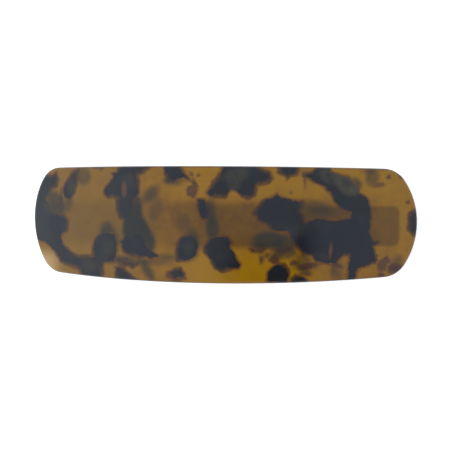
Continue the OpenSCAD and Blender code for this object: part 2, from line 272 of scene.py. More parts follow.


# Blotches laid on the flat blank, in mm along and across it. The sharp ones are outlines.
sharpBlotches = [
    [(-52, -5), (-48.5, -5.2), (-46, -6), (-43.5, -8), (-41.5, -10.3), (-38, -11.3), (-35.5, -12),
     (-34.8, -14), (-29, -14.5), (-28.6, -11.5), (-28.3, -10), (-25.5, -9.6), (-24.8, -8), (-24.5, -5),
     (-25.2, -3), (-27, -2.5), (-29.5, -3), (-31, -4.5), (-31.4, -6.5), (-31.3, -8.3), (-33, -8.5),
     (-36, -8.8), (-38.5, -7.8), (-41, -5.8), (-41.5, -4), (-39.5, -2.5), (-39, 0), (-40.5, 1.2),
     (-44, 1.5), (-45, 3), (-46, 5), (-44.8, 6.5), (-44, 8), (-42.3, 8.5), (-42, 10), (-42.5, 11.8),
     (-45, 11.3), (-47, 11), (-49, 9), (-52, 6)],
    [(-40.3, 6), (-40.2, 8.5), (-39, 10.5), (-37.5, 12), (-35.3, 13), (-35.5, 12.2), (-36, 10.5),
     (-36.2, 8.5), (-37.2, 6.5), (-38.5, 5.2)],
    [(-28.2, 7.5), (-27.8, 8.8), (-26.5, 9.8), (-25.3, 11), (-25.6, 12.2), (-24, 12.8), (-23, 15),
     (-14.5, 15), (-16.5, 13.3), (-18.5, 12), (-18.7, 9.5), (-18.6, 7.5), (-19.8, 6), (-20.2, 4),
     (-21, 2), (-22.3, .8), (-23.5, 1.3), (-24.2, 3), (-24.5, 5), (-24, 6.3), (-25.5, 6.6), (-27, 6.2)],
    [(-23.3, -4.5), (-22, -3), (-20, -2.5), (-17.5, -2.8), (-17, -5), (-15.5, -6.8), (-13.3, -7.8),
     (-15.5, -8.3), (-19, -8), (-21.5, -7.8), (-22.8, -6.5)],
    [(-24.4, -9.2), (-22.5, -9.6), (-20, -9.8), (-18.9, -9.7), (-20.5, -10.6), (-23, -10.4)],
    [(-24.9, -15), (-25, -11), (-23, -10.8), (-22, -12), (-20, -13.2), (-18, -15)],
    [(-11.8, 15), (-11.5, 12), (-11.3, 10.5), (-9, 10.5), (-6.8, 11.3), (-5, 10.8), (-5.6, 11.8),
     (-7, 13), (-8, 15)],
    [(-3.4, 6), (-2, 6.3), (-.8, 5.5), (-.6, 3), (-1, 1.3), (-2.2, 1.4), (-3.2, 3)],
    [(-9, -6), (-8.5, -4), (-7.3, -2.7), (-5.5, -2.4), (-4, -3), (-3.6, -5), (-4, -7.5), (-6, -8.8),
     (-8.7, -8.7)],
    [(-10.5, -12), (-9.5, -11), (-8, -10.8), (-7, -12), (-7, -13), (-9, -12.9)],
    [(-2, -5), (-.5, -3.4), (2, -2.9), (4, -3), (5, -4.2), (4.3, -5.5), (5.5, -7.5), (7, -9.5),
     (6.2, -10.3), (4, -10.7), (2.3, -11.2), (.8, -10.4), (-.5, -8.5), (-1.8, -6.5)],
    [(3.2, 15), (1.8, 12), (-.3, 9.5), (-1.2, 7.8), (0, 7), (3.5, 7), (5, 9), (6.5, 8), (7.5, 7),
     (9, 6.5), (10.5, 7), (10.9, 9.8), (13.5, 10.2), (14.6, 11.3), (14, 12.8), (12, 13.5), (10.5, 15)],
    [(16, 15), (16.5, 12.5), (17.8, 11.9), (18.2, 11.2), (18.8, 12), (20.3, 12.3), (21.5, 15)],
    [(10.2, 3), (11, 4.5), (12.5, 6), (14.5, 6.8), (15.8, 7.6), (17, 6.8), (20, 6), (22, 5.5), (21.5, 3),
     (22.5, .8), (26, 1.4), (30, 1), (33.5, 1.5), (33.8, 3), (31.5, 3.8), (29.5, 5.5), (28.5, 8),
     (26.5, 9.5), (24, 10.8), (22.3, 12), (24.5, 12.8), (26, 15), (28, 15), (28.8, 12.8), (31, 12),
     (33.3, 11.2), (34.8, 9.5), (35.5, 7.5), (37.8, 5.8), (38.3, 4), (38.5, 1), (38.2, -2), (38.8, -4),
     (40.5, -4.6), (39, -5.5), (39.8, -9), (38, -10), (35.5, -10.8), (34.6, -12), (34.4, -15),
     (33, -15), (32.8, -11), (33.2, -7.5), (31.8, -7.3), (30.5, -8.5), (29.8, -9.5), (27.5, -9.3),
     (25, -8.9), (24, -7.3), (22, -7), (21, -6), (20, -4.8), (19, -3), (18.3, -1.2), (16.5, -1.3),
     (14.5, -.8), (13, .5), (11, 1.2)],
    [(13, -13.6), (13.5, -11.8), (14.6, -10), (16, -9.2), (17.5, -9.3), (18.4, -10.5), (18.6, -12),
     (18, -13.8), (16, -14)],
    [(18.8, -13.2), (20, -12.5), (22, -12.4), (22.9, -13.5), (22, -15), (19.5, -15)],
    [(9.3, -5.6), (10.5, -5.9), (12.8, -5.7), (11.5, -6.4), (10, -6.3)],
    [(48.3, -2), (48.4, 1), (49.3, 3), (52, 3.5), (52, -3.5), (49.6, -3)],
]
# The others are ellipses: along, across, half length, half width, tilt in degrees, strength
deepBlotches = [
    (-43, 3.5, 3, 4, 10, .8), (-38.8, 4.6, 1.3, 2.2, -10, .6), (-34, 11.4, 2.1, 2.3, 0, .6),
    (-26.6, -4, 2.6, 3.6, 15, .7), (-24.5, -8.9, 4, .9, 0, .8), (-19.8, 4, 2.2, 4, 0, .9),
    (-20, 1, 2.6, 3.4, 0, .95), (-19.4, -1.8, 3.6, 4.2, 0, .98), (-17.2, -3.8, 2.8, 4, 20, .9),
    (-16.4, -11.4, 3, 1.2, -58, .75),
    (-17.5, -9.3, 6, .8, 0, .6), (-15.3, 7.3, 2.8, 1.5, 42, .7), (-9.4, 10.6, 2.4, 1, 0, .7),
    (-.3, 3, 1.3, 3.4, 0, .75), (.2, -.8, 1.6, 3, 0, .8), (-4.9, -4.6, 1.8, 3.6, 0, .7),
    (-11, -8, 2.8, .8, 0, .6), (5.2, 12.2, 2.8, 2, 20, .9), (4.8, 9.8, 1.6, 1.4, 0, .9),
    (25, 4.6, 4.5, 1.4, -8, .55), (26, 2.6, 5, 1.2, 0, .5), (13.6, -3.6, 3.9, 2.1, 0, .85),
    (11.2, -5.1, 1.8, .8, 0, .8), (15.6, -7.2, 1.5, 1.8, 0, .65), (21.9, -8.9, 2, 1.9, 0, .65),
    (34.6, 9.6, 1.8, 1.6, -40, .7), (38.9, 11.2, 1.7, 2.2, 0, .65), (38.2, 13, 1.8, .8, 0, .6),
    (29.2, -11.6, .8, 1.6, 0, .6), (45.6, -11.2, 2.4, 1.1, -6, .75), (22.6, 12.6, 1.4, .8, 0, .5),
    (17.6, -4.5, 2.2, 2.2, 0, .7), (24, -10.2, 1.6, .7, 10, .6), (18.2, -6.6, 2.4, 1.6, 10, .7),
    (21.5, -10.6, 1.8, .8, -15, .6), (-27.5, -1.2, 2, 1.5, 30, .5), (-7, 0.6, 1.8, 2.2, 0, .35),
    (-14, 3.6, 1.6, 3.2, -20, .45), (30.5, -11.8, .7, 2.4, 0, .55), (45.2, -9.2, 1.6, 1.2, 20, .55),
]
warmBlotches = [
    (-29.7, 13.6, 1.2, .5, 0), (-4.7, 8.1, 1.4, 1.4, 0), (-4.2, 10.2, .7, 1.4, 20),
    (-9.5, -12.3, 2.1, 1.1, 8), (-3.2, 12, .3, .3, 0), (19, 7.7, .4, .35, 0), (22.4, 10.4, .25, .9, 0),
    (14.9, -8.2, 1.2, 1.3, 0), (40.6, 9.3, 1.3, .5, 0), (43.1, 11.2, .6, .6, 20), (48.1, 4.9, .5, .45, 0),
    (41.5, -10.4, 1.4, 1.6, 0), (42.5, -9, 1, 1, 0), (44.2, -11.2, 2, 1.2, -10), (41.2, -12.6, 1, .9, 0),
    (46, 11.7, 1.5, .4, -42), (48.9, .8, .9, 2.8, 0), (-33, -.4, .5, .35, 0), (19.4, -9.2, .9, .6, 20),
    (-18.6, 9.4, .5, 1.8, 0), (41.4, 13.4, 1.4, .3, -5), (22.4, -11.9, 1.4, .5, 0),
    (13.6, -7.2, .8, .8, 0), (-41, 6.2, .6, 1.6, 0), (23.4, -9.9, 1.8, .7, 10), (30, -10, 1.6, .6, -10),
    (12, -8.6, .7, 1.2, 10), (-8.6, -13.4, 1.6, .6, 0), (39.4, -8.6, .8, 1.2, -20),
    (-5, 12.4, .6, .35, -50),
    (16.5, -5.9, 1.8, .5, 5), (26.8, 12.2, .9, .6, 0),
]
# Where a dark blotch lies deeper and shows greener
thinBlotches = [
    (33, 9.8, 3.4, 2.4, -40, 1), (29, 11.8, 3.2, 1.8, -20, .8), (6, 12.2, 3, 1.8, 15, .6),
    (5.5, 10, 1.4, 1.6, 0, .5), (-21.5, 10.8, 1.8, 1.6, 0, .3), (-45, 4.5, 2, 3, 0, .35),
    (-33, -10.8, 2, 1.6, 0, .35), (-27.2, -6, 1.6, 2, 0, .3), (-5.8, -5.8, 1.2, 1.8, 0, .35),
    (20, -1.5, 2, 1.6, 0, .3), (26, -7.6, 1.6, .9, -10, .4), (-37.6, 8.6, 1.4, 2.4, 20, .4),
]
gapBlotches = [(-22.4, 8.4, .65, 1.7, 0), (28.6, -6.1, .35, 1.6, -5)]


def ellipseDistance(along, across, centre, side, halfLength, halfWidth, tilt):
    # (1 - the scaled radius) * the smaller half size: positive inside
    turn = np.radians(tilt)
    x = (along - centre) * np.cos(turn) + (across - side) * np.sin(turn)
    y = (across - side) * np.cos(turn) - (along - centre) * np.sin(turn)
    return (1 - np.hypot(x / halfLength, y / halfWidth)) * min(halfLength, halfWidth)


def outlineDistance(along, across, outline):
    # Distance to the nearest side, positive inside; inside = an odd number of sides lie above the point
    nearest = np.full(along.shape, 99.0)
    inside = np.zeros(along.shape, bool)
    for (x0, y0), (x1, y1) in zip(outline, outline[1:] + outline[:1]):
        dx, dy = x1 - x0, y1 - y0
        part = np.clip(((along - x0) * dx + (across - y0) * dy) / (dx * dx + dy * dy), 0, 1)
        nearest = np.minimum(nearest, np.hypot(along - x0 - part * dx, across - y0 - part * dy))
        if dx:
            height = y0 + (along - x0) * dy / dx
            inside ^= ((x0 > along) != (x1 > along)) & (height > across)
    return np.where(inside, nearest, -nearest)


def blotchFields(along, across, softness=0.8, furthest=-6.0):
    # Distances to the nearest of the hard blotches, and the cover of the soft ones: 1 - product(1 - each)
    def covered(rows):
        clear = np.ones(along.shape)
        for *ellipse, strength in rows:
            distance = ellipseDistance(along, across, *ellipse)
            clear *= 1 - strength * smoothStep(distance, -softness, softness)
        return 1 - clear

    farOff = np.full(along.shape, furthest)
    return {
        "sharp": np.max([outlineDistance(along, across, o) for o in sharpBlotches] + [farOff], 0),
        "warm": np.max([ellipseDistance(along, across, *e) for e in warmBlotches] + [farOff], 0),
        "gap": np.max([ellipseDistance(along, across, *e) for e in gapBlotches] + [farOff], 0),
        "deep": covered(deepBlotches),
        "thin": covered(thinBlotches),
    }


plateSettings = {
    "length": 101.6, "width": 28.6, "bulge": 1.5, "endRadius": 17.7, "cornerRadius": 6.9,
    "thickness": 2.5, "faceRadius": 95.0,
    "topRound": 0.8, "backRound": 0.45, "around": 720, "topRings": 38, "edgeRings": 7, "backRings": 20,
    "spineHalf": 36.0, "ringBias": 0.9,  # a bias under 1 packs the face's rings towards the edge
}
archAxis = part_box("face_plate")[1].z / mm - plateSettings["faceRadius"]  # height of the arch's axis, mm


def plateOutline(p):
    # A quarter is three arcs that meet smoothly: long edge, corner, end. Its mirror images close the loop.
    half = p["length"] / 2
    longRadius = (half ** 2 + p["bulge"] ** 2) / (2 * p["bulge"])
    longCentre = np.array([0, p["width"] / 2 - longRadius])
    endCentre = np.array([half - p["endRadius"], 0])
    toLong = longRadius - p["cornerRadius"]
    toEnd = p["endRadius"] - p["cornerRadius"]
    gap = endCentre - longCentre
    distance = np.hypot(*gap)
    unit = gap / distance
    along = (toLong ** 2 - toEnd ** 2 + distance ** 2) / (2 * distance)
    off = np.sqrt(toLong ** 2 - along ** 2)
    corner = longCentre + along * unit + off * np.array([unit[1], -unit[0]])
    arcs = []
    start = np.pi / 2
    for centre, radius, aim in ((longCentre, longRadius, corner - longCentre),
                                (corner, p["cornerRadius"], corner - endCentre),
                                (endCentre, p["endRadius"], np.array([1.0, 0.0]))):
        stop = np.arctan2(aim[1], aim[0])
        turn = np.linspace(start, stop, 400)
        arcs.append(centre + radius * np.stack([np.cos(turn), np.sin(turn)], 1))
        start = stop
    quarter = np.concatenate(arcs)
    run = np.concatenate([[0], np.cumsum(np.hypot(*np.diff(quarter, axis=0).T))])
    place = np.linspace(0, run[-1], p["around"] // 4 + 1)
    quarter = np.stack([np.interp(place, run, quarter[:, 0]), np.interp(place, run, quarter[:, 1])], 1)
    right = np.concatenate([quarter, quarter[-2::-1] * [1, -1]])
    return np.concatenate([right, right[-2:0:-1] * [-1, 1]])


def makePlate(p):
    # Rings run from a line along the middle of the face, over the rounded edge, to the same line on
    # the back. Each is the outline moved inwards, at a depth; bending then rolls the sheet round Y.
    outline = plateOutline(p)
    before = np.roll(outline, 1, 0)
    after = np.roll(outline, -1, 0)
    run = after - before
    inward = np.stack([run[:, 1], -run[:, 0]], 1) / np.hypot(*run.T)[:, None]
    spine = np.stack([np.clip(outline[:, 0], -p["spineHalf"], p["spineHalf"]), 0 * outline[:, 1]], 1)
    quarterTurn = np.linspace(0, np.pi / 2, p["edgeRings"])
    top, back, deep = p["topRound"], p["backRound"], p["thickness"]
    inset = np.concatenate([top * (1 - np.sin(quarterTurn)), back * (1 - np.cos(quarterTurn))])
    depth = np.concatenate([top * (1 - np.cos(quarterTurn)), deep - back * (1 - np.sin(quarterTurn))])
    rim = outline + inset[:, None, None] * inward
    rimDepth = np.repeat(depth[:, None], len(outline), 1)
    out = np.linspace(0, 1, p["topRings"])[:-1, None, None] ** p["ringBias"]
    home = np.linspace(1, 0, p["backRings"])[1:, None, None]
    flat = np.concatenate([spine + (rim[0] - spine) * out, rim, spine + (rim[-1] - spine) * home])
    depths = np.concatenate([np.zeros((p["topRings"] - 1, len(outline))), rimDepth,
                             np.full((p["backRings"] - 1, len(outline)), deep)])
    radius = p["faceRadius"] - depths
    angle = flat[..., 0] / (p["faceRadius"] - p["topRound"])
    points = np.stack([radius * np.sin(angle), flat[..., 1], archAxis + radius * np.cos(angle)], -1)
    faces = gridFaces(len(flat), len(outline), wrap=True)
    acetate = acetateMaterial(acetateSettings)
    plate = addPiece("tortoiseshellPlate", points, faces, acetate, "clip_frame", ["face_plate"])
    paintTones(plate, p, toneSettings)


shadowSettings = {
    "shift": -0.7, "wider": 0.8, "near": -46.6, "far": 46.0, "corner": 1.8,  # mm
    "clearFrom": -18, "clearTo": 4, "endFrom": 12, "endTo": 36,  # mm along the plate
    "weakest": 0.6, "blurHinge": 3.2, "blurMiddle": 1.6, "blurCatch": 0.6,
}


def steelShadow(along, across, p):
    # This is the painted shadow of the bar as seen through the plate
    # Depth inside a rounded rectangle as wide as the bar, over a blur, as a soft step. Towards the hinge
    # it grows weaker and softer; in the middle it is wider, and at the catch it lies lower.
    clear = smoothStep(along, p["clearFrom"], p["clearTo"])
    toEnd = smoothStep(along, p["endFrom"], p["endTo"])
    reach = np.minimum(along - p["near"], p["far"] - along)
    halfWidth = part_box("base_bar")[1].y / mm + p["wider"] * (1 - toEnd)
    side = halfWidth - np.abs(across - p["shift"] * toEnd)
    turnedIn = np.hypot(np.maximum(p["corner"] - reach, 0), np.maximum(p["corner"] - side, 0))
    inside = np.minimum(np.minimum(reach, side), p["corner"] - turnedIn)
    blur = p["blurHinge"] + (p["blurMiddle"] - p["blurHinge"]) * clear
    blur = blur + (p["blurCatch"] - p["blurMiddle"]) * toEnd
    return smoothStep(inside / blur, -0.5, 1.0) * (p["weakest"] + (1 - p["weakest"]) * clear)


# Where the amber's tones lie: each pair is where a soft step starts and ends, in mm
# The low, top and end entries place the painted glow of light shining through the plate
toneSettings = {
    "lowSide": (3.5, 9.0), "lowMiddle": 8, "lowHalf": 19, "lowSoft": (-3, 9),
    "topStrength": 0.75, "topSide": (4.5, 9.0), "topFrom": (-18, -4),
    "endStrength": 0.5, "endFrom": (37, 44),
    "creamStrength": 0.85, "creamSide": (6.5, 10.5), "creamFrom": (40, 46),
    # The rim pair on the next line is how far in from the edge the painted shade fades out, in mm
    "wheatStrength": 0.7, "wheatFrom": (12, 24), "rim": (0.1, 0.5), "rimAround": 180,
}


def paintTones(plate, p, t):
    # Unrolls every point to its place on the flat blank, and stores each field there as an attribute
    mesh = plate.data
    where = np.empty(len(mesh.vertices) * 3, np.float32)
    mesh.vertices.foreach_get("co", where)
    x, y, z = where.reshape(-1, 3).T / mm
    along = np.arctan2(x, z - archAxis) * (p["faceRadius"] - p["topRound"])
    low = smoothStep(-y, *t["lowSide"])
    low = low * smoothStep(t["lowHalf"] - np.abs(along - t["lowMiddle"]), *t["lowSoft"])
    top = t["topStrength"] * smoothStep(y, *t["topSide"]) * smoothStep(along, *t["topFrom"])
    end = t["endStrength"] * smoothStep(along, *t["endFrom"])
    corner = smoothStep(-y, *t["creamSide"]) * smoothStep(-along, *t["creamFrom"])
    outline = plateOutline(dict(p, around=t["rimAround"]))
    inset = outlineDistance(along, y, [tuple(point) for point in outline])
    fields = blotchFields(along, y)
    # Painted shadow of the bar behind the plate
    fields["paintedSteelShadow"] = steelShadow(along, y, shadowSettings)
    # Painted glow of light through the plate: the lower middle, the upper side and the catch end
    fields["paintedGlowHoney"] = np.maximum.reduce([low, top, end])
    fields["cream"] = t["creamStrength"] * corner
    fields["wheat"] = t["wheatStrength"] * smoothStep(-along, *t["wheatFrom"])
    # Painted shade along the rounded edge
    fields["rim"] = 1 - smoothStep(inset, *t["rim"])
    for name, field in fields.items():
        layer = mesh.attributes.new(name, "FLOAT", "POINT")
        layer.data.foreach_set("value", field.astype(np.float32))


makePlate(plateSettings)
print("plate ready")


# grain is the lines' height in mm; streaks is their scale along each axis, in turns per mm
metalSettings = {
    "brightNickel": {"pale": (0.66, 0.64, 0.60), "dull": (0.56, 0.54, 0.50), "rough": 0.20,
                     "grain": 0.0006, "streaks": (0.25, 9.0, 9.0)},
    "springSteel": {"pale": (0.53, 0.53, 0.54), "dull": (0.42, 0.42, 0.43), "rough": 0.25,
                    "grain": 0.0008, "streaks": (0.3, 12.0, 12.0)},
    "rivetSteel": {"pale": (0.70, 0.68, 0.64), "dull": (0.56, 0.55, 0.52), "rough": 0.17,
                   "grain": 0.0004, "streaks": (4.0, 4.0, 4.0)},
    "dents": 0.004,
}


def metalMaterial(name):
    # Colour = pale to dull by a cloudy noise, duller along the rolling lines. Roughness = rough plus a
    # share of the stains and the lines. Relief = shallow dents, then the lines.
    p = metalSettings[name]
    paint = Paint(name, Metallic=1.0, Roughness=p["rough"])
    cloud = paint.noise(0.22, 3.0, 0.6)
    stain = paint.noise(0.9, 4.0, 0.7)
    lines = paint.noise(p["streaks"], 3.0, 0.6)
    shade = paint.blend((cloud * 0.6 + stain * 0.4).step(0.42, 0.62), p["pale"], p["dull"])
    shade = paint.blend(lines.step(0.55, 0.8) * 0.35, shade, p["dull"])
    relief = paint.bump(paint.noise(0.18, 2.0), metalSettings["dents"])
    relief = paint.bump(lines, p["grain"], normal=relief)
    rough = stain.step(0.3, 0.75) * 0.10 + lines * 0.08 + (p["rough"] - 0.04)
    return paint.finish(Base_Color=shade, Roughness=rough, Normal=relief)


glueSettings = {
    "pale": (0.60, 0.50, 0.30), "deep": (0.46, 0.36, 0.19), "bubble": (0.24, 0.18, 0.10),
    "cloudScale": 0.5, "bubbleScale": 1.6, "bubbleEdge": (0.10, 0.22), "relief": 0.03,
}


def glueMaterial(p):
    # Cloudy resin, with round bubbles as dark specks and pits. Roughness = 0.2 + 0.25 * cloud.
    paint = Paint("curedAdhesive", Roughness=0.3, IOR=1.5, Coat_Weight=0.3)
    cloud = paint.noise(p["cloudScale"], 3.0)
    bubbles = paint.node("ShaderNodeTexVoronoi", {"feature": "F1"},
                         {"Vector": paint.coords((p["bubbleScale"],) * 3), "Scale": 1.0}, out="Distance")
    speck = 1 - bubbles.step(*p["bubbleEdge"])
    shade = paint.blend(cloud.step(0.3, 0.7), p["pale"], p["deep"])
    shade = paint.blend(speck * 0.6, shade, p["bubble"])
    relief = paint.bump(cloud - speck * 0.5, p["relief"])
    return paint.finish(Base_Color=shade, Roughness=cloud * 0.25 + 0.2, Normal=relief)


nickel = metalMaterial("brightNickel")
springSteel = metalMaterial("springSteel")
rivetSteel = metalMaterial("rivetSteel")
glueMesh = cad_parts["adhesive_pads"].data
glueMesh.materials.clear()
glueMesh.materials.append(glueMaterial(glueSettings))
print("metals ready")


def sheetPoints(path, side, drop):
    # A strip along a path in the XZ plane: side is each point's Y, drop its way along the path's normal
    run = np.gradient(path, axis=0)
    run = run / np.hypot(run[:, 0], run[:, 1])[:, None]
    x = path[:, :1] - run[:, 1:] * drop
    z = path[:, 1:] + run[:, :1] * drop
    return np.stack([x, side, z], -1)


def softMaximum(height, ease):
    # Follows height where it is positive and 0 elsewhere, with a rounded change between them
    return (height + np.hypot(height, ease)) / 2


armSettings = {
    "rollRadius": 1.2, "rollStart": 15.0, "rollEnd": 268.0, "rollHalf": 4.0, "rollSteps": 30,
    "span": 34.5, "rise": 5.6, "archEase": 0.12, "thickness": 0.7, "edge": 0.13,
    "strapHalf": 3.3, "archHalf": 3.5, "widenFrom": 33.5, "widenOver": 2.0,
    "strapInner": 2.65, "innerFrom": 33.2, "innerTo": 34.5, "rollFrom": 37.0, "rollTo": 38.2,
    "lip": 0.7, "lipFrom": 34.0, "lipFade": 4.0, "lipRound": 0.5,
    "loopLength": 9.6, "loopHalf": 4.4, "loopCorner": 1.2, "windowLength": 7.0, "windowHalf": 3.1,
    "pivotHeight": 2.4, "hingeX": -39.5, "catchX": 39.5, "leadIn": 2.9,
    "strapEnd": -36.5, "fineEnd": -36.0, "coarseEnd": 32.0, "fineStep": 0.25, "coarseStep": 1.0,
}


def makeArm(p):
    # The path curls round the pin, rises from under it to the strap, arches and ends flat in the loop.
    # Across it, the edges turn down by an amount that fades to nothing before both straps.
    turn = np.radians(np.linspace(p["rollStart"], p["rollEnd"], p["rollSteps"]))
    curl = np.stack([p["hingeX"] + p["rollRadius"] * np.cos(turn),
                     p["pivotHeight"] + p["rollRadius"] * np.sin(turn)], 1)
    near = p["catchX"] - p["loopLength"] / 2
    far = p["catchX"] + p["loopLength"] / 2
    windowNear = p["catchX"] - p["windowLength"] / 2
    windowFar = p["catchX"] + p["windowLength"] / 2
    corner = p["loopCorner"] * (1 - np.cos(np.linspace(0, np.pi / 2, 7)))
    x = np.concatenate([
        np.linspace(p["hingeX"], p["strapEnd"], 12),
        np.arange(p["fineEnd"], -p["coarseEnd"], p["fineStep"]),
        np.arange(-p["coarseEnd"], p["coarseEnd"], p["coarseStep"]),
        np.arange(p["coarseEnd"], near - 0.2, p["fineStep"]),
        [near - 0.02], near + corner, np.linspace(windowNear, windowFar, 9), far - corner[::-1]])
    radius = (p["span"] ** 2 + p["rise"] ** 2) / (2 * p["rise"])
    arch = p["rise"] - radius + np.sqrt(radius ** 2 - x ** 2)
    z = p["pivotHeight"] - p["rollRadius"] * (1 - smoothStep(x, p["hingeX"], p["hingeX"] + p["leadIn"]))
    path = np.concatenate([curl, np.stack([x, z + softMaximum(arch, p["archEase"])], 1)])
    x = path[:, 0]
    curled = np.arange(len(path)) < len(curl)

    widened = smoothStep(p["widenFrom"] - np.abs(x), 0, p["widenOver"])
    half = p["strapHalf"] + (p["archHalf"] - p["strapHalf"]) * widened
    half = half + (p["rollHalf"] - p["strapHalf"]) * smoothStep(-x, p["rollFrom"], p["rollTo"])
    half[curled] = p["rollHalf"]
    into = np.clip(np.maximum(near + p["loopCorner"] - x, x - far + p["loopCorner"]), 0, p["loopCorner"])
    loop = p["loopHalf"] - p["loopCorner"] + np.sqrt(p["loopCorner"] ** 2 - into ** 2)
    half = np.where(x > near - 0.01, np.maximum(loop, p["windowHalf"] + 0.1), half)
    inner = smoothStep(x, p["innerFrom"], p["innerTo"])
    inner = p["strapInner"] + (p["windowHalf"] - p["strapInner"]) * inner
    fade = smoothStep(p["lipFrom"] - np.abs(x), 0, p["lipFade"])
    fade[curled] = 0

    side = [inner * part for part in (0, 0.35, 0.7)]
    drop = [0 * x] * 3
    wall = half - p["thickness"] / 2
    for part in range(6):  # a quarter turn in four steps, then the lip's straight edge
        angle = np.radians(22.5 * min(part, 4))
        turnedSide = wall - p["lipRound"] * (1 - np.sin(angle))
        turnedDrop = -p["lipRound"] * (1 - np.cos(angle))
        if part == 5:
            turnedDrop = -p["lip"] - p["thickness"] / 2
        flatSide = inner + (half - inner) * part / 5
        side.append(flatSide + (turnedSide - flatSide) * fade)
        drop.append(turnedDrop * fade)
    side = np.stack(side, 1)
    drop = np.stack(drop, 1)
    side = np.concatenate([-side[:, :0:-1], side], 1)
    drop = np.concatenate([drop[:, :0:-1], drop], 1)
    points = sheetPoints(path, side, drop)
    faces = gridFaces(*side.shape)
    middle = points.reshape(-1, 3)[faces].mean(1)
    window = (middle[:, 0] > windowNear) & (middle[:, 0] < windowFar)
    window &= np.abs(middle[:, 1]) < p["windowHalf"]
    arm = addPiece("swingArm", points, faces[~window], nickel, "arm", ["clasp_arm"],
                   closed=False)
    thicken(arm, p["thickness"])
    roundEdges(arm, p["edge"])


bowSettings = {
    "span": 33.95, "rise": 4.2, "archEase": 0.1, "topHeight": 9.05, "half": 2.5, "shoulder": 0.5,
    "tongueHalf": 1.5, "end": 36.05, "tip": 0.4, "thickness": 0.4, "edge": 0.07,
    "step": 1.0, "lastStep": 32.0,
}


def makeBow(p):
    # A shallow arch with narrower flat tongues; shoulders and tips are quarter circles
    ease = 1 - np.sin(np.linspace(0, np.pi / 2, 5))
    right = np.concatenate([
        np.arange(0, p["lastStep"] + p["step"], p["step"]), p["span"] - p["shoulder"] * ease,
        [p["span"] + 0.02, 34.6, 35.2], p["end"] - p["tip"] * ease])
    x = np.concatenate([-right[:0:-1], right])
    reach = np.abs(x)
    radius = (p["span"] ** 2 + p["rise"] ** 2) / (2 * p["rise"])
    arch = p["rise"] - radius + np.sqrt(radius ** 2 - x ** 2)
    path = np.stack([x, p["topHeight"] - p["rise"] + softMaximum(arch, p["archEase"])], 1)
    into = np.clip(reach - p["span"] + p["shoulder"], 0, p["shoulder"])
    wide = p["half"] - p["shoulder"] + np.sqrt(p["shoulder"] ** 2 - into ** 2)
    into = np.clip(reach - p["end"] + p["tip"], 0, p["tip"])
    narrow = p["tongueHalf"] - p["tip"] + np.sqrt(p["tip"] ** 2 - into ** 2)
    half = np.where(reach > p["span"] + 0.01, narrow, wide)
    side = half[:, None] * np.linspace(-1, 1, 9)
    points = sheetPoints(path, side, 0 * side)
    bow = addPiece("leafSpring", points, gridFaces(*side.shape), springSteel, "bow",
                   ["tension_bow"], closed=False)
    thicken(bow, p["thickness"])
    roundEdges(bow, p["edge"])


tabSettings = {
    "stemNear": 2.1, "stemFar": 2.8, "stemHalf": 2.0, "rootHeight": 4.6,
    "wingHalf": 2.8, "wingCorner": 0.9, "shelf": 1.9, "shelfEase": 0.02, "stemFoot": 2.2,
    "hookHeight": 1.3, "hookOut": 3.7, "leadIn": 3.0, "edge": 0.12,
}


def makeTab(name, node, body, facing, p):
    # Rectangles stacked up Z, each with its near and far Y and half width in X: a wing with two rounded
    # lower corners and a sloping hook, its shelf, a stem, and a rounded root
    catchX = (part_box(node)[0].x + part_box(node)[1].x) / 2 / mm
    low = p["wingCorner"] * (1 - np.cos(np.linspace(0, np.pi / 2, 7)))
    high = [p["hookHeight"], p["shelf"] - p["shelfEase"], p["shelf"], p["stemFoot"]]
    height = np.concatenate([low, high])
    into = np.clip(p["wingCorner"] - height, 0, None)
    half = p["wingHalf"] - p["wingCorner"] + np.sqrt(p["wingCorner"] ** 2 - into ** 2)
    far = p["leadIn"] + (p["hookOut"] - p["leadIn"]) * np.clip(height / p["hookHeight"], 0, 1)
    near = np.full(len(height), p["stemNear"])
    half[-2:] = p["stemHalf"]
    far[-2:] = p["stemFar"]
    turn = np.linspace(0, np.pi / 2, 6)
    radius = (p["stemFar"] - p["stemNear"]) / 2
    middle = p["stemNear"] + radius
    rounded = radius * np.cos(turn) * 0.999  # the last two edges stay just apart
    height = np.concatenate([height, p["rootHeight"] + radius * np.sin(turn)])
    near = np.concatenate([near, middle - rounded])
    far = np.concatenate([far, middle + rounded])
    half = np.concatenate([half, np.full(len(turn), p["stemHalf"])])
    x = catchX + half[:, None] * np.array([-1, 1, 1, -1])
    y = facing * np.stack([near, near, far, far], 1)
    points = np.stack([x, y, np.repeat(height[:, None], 4, 1)], -1)
    last = 4 * len(height)
    faces = gridFaces(len(height), 4, wrap=True).tolist() + [[0, 1, 2, 3], list(range(last - 4, last))]
    tab = addPiece(name, points, faces, springSteel, body, [node])
    roundEdges(tab, p["edge"])


pressedSettings = {"barEdge": 0.12, "bracketEdge": 0.10, "archSpread": 4.0}


def easedCopy(name, node, material, edge):
    # A merged copy of the frame's node with its sharp edges eased
    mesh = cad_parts[node].data.copy()
    mesh.materials.clear()
    piece = addMesh(name, mesh, material, "clip_frame", [node], flatten=True)
    roundEdges(piece, edge)
    return piece


